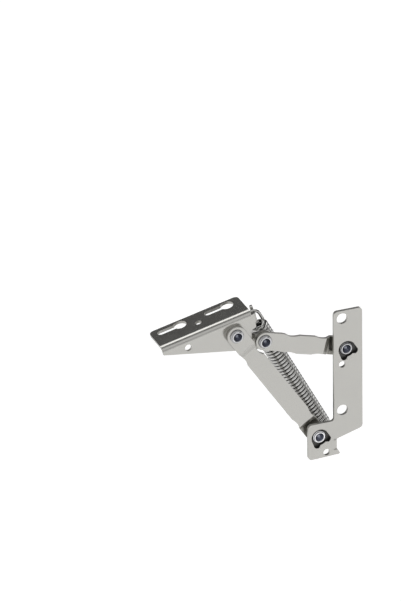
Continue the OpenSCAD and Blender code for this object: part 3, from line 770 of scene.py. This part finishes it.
class FLAPSTAY_OT_spring(bpy.types.Operator):
    """The tension spring, one wire from loop to loop"""

    bl_idname = "flapstay.spring"
    bl_label = "Spring"

    # Steps round one turn of the coil, along the way into a loop and round a loop of that many degrees
    turn_steps = 24
    lead_steps = 16
    loop_steps = 40
    loop_turn = 290

    def execute(self, context):
        settings = context.scene.flap_stay
        hook_offset = 1.8 * MM
        hook_side = 1.0 * MM
        coil_lead = 6.2 * MM
        lead_pull = 6.5 * MM
        low_hook, high_hook = Vector(settings.low_hook), Vector(settings.high_hook)
        axis = (high_hook - low_hook).normalized()
        across = Vector((axis.z, 0.0, -axis.x))
        behind = Vector((0.0, 1.0, 0.0))
        start = low_hook + hook_offset * axis - hook_side * across
        length = (high_hook - low_hook).length - 2 * hook_offset
        wire = settings.wire_diameter
        coil_radius = (settings.coil_diameter - wire) / 2
        pitch = (length - 2 * coil_lead) / settings.coil_turns
        loop = settings.loop_radius

        coil = []
        for step in range(settings.coil_turns * self.turn_steps + 1):
            angle = math.radians(-90 + 360 * step / self.turn_steps)
            rise = coil_lead + pitch * step / self.turn_steps
            coil.append(Vector((coil_radius * math.cos(angle), coil_radius * math.sin(angle), rise)))
        lead_from = Vector((0.0, -coil_radius, length - coil_lead))
        lead_to = Vector((loop, 0.0, length - 2 * wire))
        out = lead_pull * Vector((1.0, 0.0, pitch / (2 * math.pi * coil_radius))).normalized()
        into = Vector((0.0, 0.0, lead_pull))
        end = []
        for step in range(1, self.lead_steps + 1):
            t = step / self.lead_steps
            end.append(
                (2 * t**3 - 3 * t**2 + 1) * lead_from
                + (t**3 - 2 * t**2 + t) * out
                + (3 * t**2 - 2 * t**3) * lead_to
                + (t**3 - t**2) * into
            )
        end.append(Vector((loop, 0.0, length - wire)))
        for step in range(self.loop_steps + 1):
            angle = math.radians(self.loop_turn * step / self.loop_steps)
            end.append(Vector((loop * math.cos(angle), 0.0, length + loop * math.sin(angle))))
        flipped = [Vector((-p.x, p.y, length - p.z)) for p in reversed(end)]
        route = [start + p.x * across + p.y * behind + p.z * axis for p in flipped + coil + end]

        deselect()
        bpy.ops.curve.primitive_nurbs_path_add()
        piece = bpy.context.object
        line = piece.data
        line.splines.clear()
        spline = line.splines.new("POLY")
        spline.points.add(len(route) - 1)
        for point, place in zip(spline.points, route):
            point.co = (*place, 1.0)
        line.dimensions = "3D"
        line.bevel_depth = wire / 2
        line.bevel_resolution = 4
        line.use_fill_caps = True
        line.use_path = False
        pick(piece)
        bpy.ops.object.convert(target="MESH")
        piece = bpy.context.object
        edit_all(piece)
        bpy.ops.mesh.remove_doubles(threshold=1e-6)
        bpy.ops.mesh.normals_make_consistent(inside=False)
        bpy.ops.object.mode_set(mode="OBJECT")
        bpy.ops.object.shade_smooth_by_angle(angle=math.radians(50))
        self.mark_wire(piece.data, start, axis, coil_lead, length - coil_lead)
        piece.name = piece.data.name = "spring_wire"
        piece.data.materials.clear()
        piece.data.materials.append(drawn_wire("drawn_wire", settings))
        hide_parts("tension_spring", "spring_hook")
        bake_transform(piece)
        return {"FINISHED"}

    def mark_wire(self, mesh, start, axis, coil_low, coil_high):
        """Marks the side of the coil's wire that faces its axis, for painted shade, and the two end loops,
        which are painted a little darker as painted shade.
        """
        inner = mesh.attributes.new("inner", "FLOAT", "POINT")
        loop = mesh.attributes.new("loop", "FLOAT", "POINT")
        for vertex in mesh.vertices:
            place = vertex.co - start
            along = place.dot(axis)
            outward = vertex.normal.dot((place - along * axis).normalized())
            in_coil = coil_low < along < coil_high
            inner.data[vertex.index].value = min(max(0.5 - 1.4 * outward, 0.0), 1.0) if in_coil else 0.0
            loop.data[vertex.index].value = 0.0 if in_coil else 1.0


class FLAPSTAY_OT_studio(bpy.types.Operator):
    """Pale floor, soft light all round, background and camera"""

    bl_idname = "flapstay.studio"
    bl_label = "Studio"

    def execute(self, context):
        settings = context.scene.flap_stay
        deselect()
        self.floor()
        self.backdrop()
        self.camera(settings)
        context.scene.view_settings.view_transform = "Standard"
        return {"FINISHED"}

    def seen_directly(self, maker):
        """1 for what the camera or a mirror sees."""
        camera = maker.node("ShaderNodeLightPath", output="Is Camera Ray")
        glossy = maker.node("ShaderNodeLightPath", output="Is Glossy Ray")
        through = maker.node("ShaderNodeLightPath", output="Is Transmission Ray")
        return (camera + glossy + through).clamped()

    def floor(self):
        bpy.ops.mesh.primitive_plane_add(size=FLOOR_WIDTH, location=(0.0, 0.0, FLOOR_HEIGHT))
        floor = bpy.context.object
        floor.name = "floor"
        finish = Finish("pale_floor", Roughness=0.9)
        finish.set("Base Color", grey(FLOOR_TONE))
        # Seen directly or in a mirror the floor is lifted to white, and keeps the shadow that falls on it
        strength = FLOOR_LIFT * self.seen_directly(finish)
        lift = finish.node("ShaderNodeEmission", inputs={"Color": grey(1.0), "Strength": strength})
        lit = Field(finish, finish.shader.outputs[0])
        lifted = finish.node("ShaderNodeAddShader", inputs={0: lit, 1: lift})
        finish.feed(finish.tree.nodes["Material Output"].inputs["Surface"], lifted)
        floor.data.materials.append(finish.material)

    def backdrop(self):
        world = bpy.data.worlds.new("studio")
        bpy.context.scene.world = world
        world.use_nodes = True
        maker = NodeMaker(world.node_tree)
        direction = maker.node("ShaderNodeTexCoord", output="Generated")
        x, y, z = maker.parts_of(direction)
        # Angle over the stay: 0 at the horizon in front, a quarter turn overhead and half a turn behind
        over = z.math("ARCTAN2", z, 0.0 - y)
        quarter_turn = math.pi / 2
        # Low in front it is bright on the left and half as bright on the right
        low_front = 1.0 - over.above(*(limit * quarter_turn for limit in LOW_FADE))
        level = low_front * (1.0 - LOW_RIGHT_LOSS * x.above(-0.05, 0.1))
        for *limits, bright in ROOM_BANDS:
            level = level + bright * over.band(*(limit * quarter_turn for limit in limits))
        level = level + BEHIND_TONE * over.above(*(limit * quarter_turn for limit in BEHIND_FROM))
        # It is dark far to the right and a little lighter far to the left
        level = level * (1.0 - 0.95 * x.above(0.5, 0.85)) + 0.05 * (1.0 - x.above(-0.85, -0.5))
        # All round at the horizon stands a plain white backdrop, which the camera and the metal both see
        level = level + (1.0 - level) * (1.0 - z.above(*BACKDROP_FADE))
        room = maker.blend(level / ROOM_BRIGHTEST, grey(ROOM_DARKEST), grey(ROOM_BRIGHTEST))
        background = world.node_tree.nodes["Background"]
        maker.feed(background.inputs["Color"], room)
        background.inputs["Strength"].default_value = 1.0

    def camera(self, settings):
        azimuth, elevation, roll = settings.camera_azimuth, settings.camera_elevation, settings.camera_roll
        level = math.cos(elevation)
        back = Vector((math.sin(azimuth) * level, -math.cos(azimuth) * level, math.sin(elevation)))
        right = Vector((math.cos(azimuth), math.sin(azimuth), 0.0))
        up = back.cross(right)
        turned_right = math.cos(roll) * right - math.sin(roll) * up
        turned_up = math.sin(roll) * right + math.cos(roll) * up
        bpy.ops.object.camera_add(location=Vector(settings.camera_target) + settings.camera_distance * back)
        camera = bpy.context.object
        camera.name = "camera"
        camera.rotation_euler = Matrix((turned_right, turned_up, back)).transposed().to_euler()
        camera.data.lens = settings.camera_lens
        camera.data.sensor_width = 36.0
        camera.data.clip_end = 50.0
        bpy.context.scene.camera = camera


class FLAPSTAY_PT_panel(bpy.types.Panel):
    """Lists the settings and the steps of the flap stay"""

    bl_idname = "FLAPSTAY_PT_panel"
    bl_label = "Flap stay"
    bl_space_type = "VIEW_3D"
    bl_region_type = "UI"
    bl_category = "Flap stay"

    def draw(self, context):
        settings = context.scene.flap_stay
        for name in FlapStaySettings.__annotations__:
            self.layout.prop(settings, name)
        for step in STEPS:
            self.layout.operator(step.bl_idname)


STEPS = (
    FLAPSTAY_OT_sheet_parts,
    FLAPSTAY_OT_rivets,
    FLAPSTAY_OT_washers,
    FLAPSTAY_OT_spring,
    FLAPSTAY_OT_studio,
)
CLASSES = (FlapStaySettings, *STEPS, FLAPSTAY_PT_panel)


def register():
    for one in CLASSES:
        bpy.utils.register_class(one)
    bpy.types.Scene.flap_stay = bpy.props.PointerProperty(type=FlapStaySettings)


def unregister():
    del bpy.types.Scene.flap_stay
    for one in reversed(CLASSES):
        bpy.utils.unregister_class(one)


def main():
    register()
    bpy.ops.flapstay.sheet_parts()
    bpy.ops.flapstay.rivets()
    bpy.ops.flapstay.washers()
    bpy.ops.flapstay.spring()
    bpy.ops.flapstay.studio()


if __name__ == "__main__":
    main()
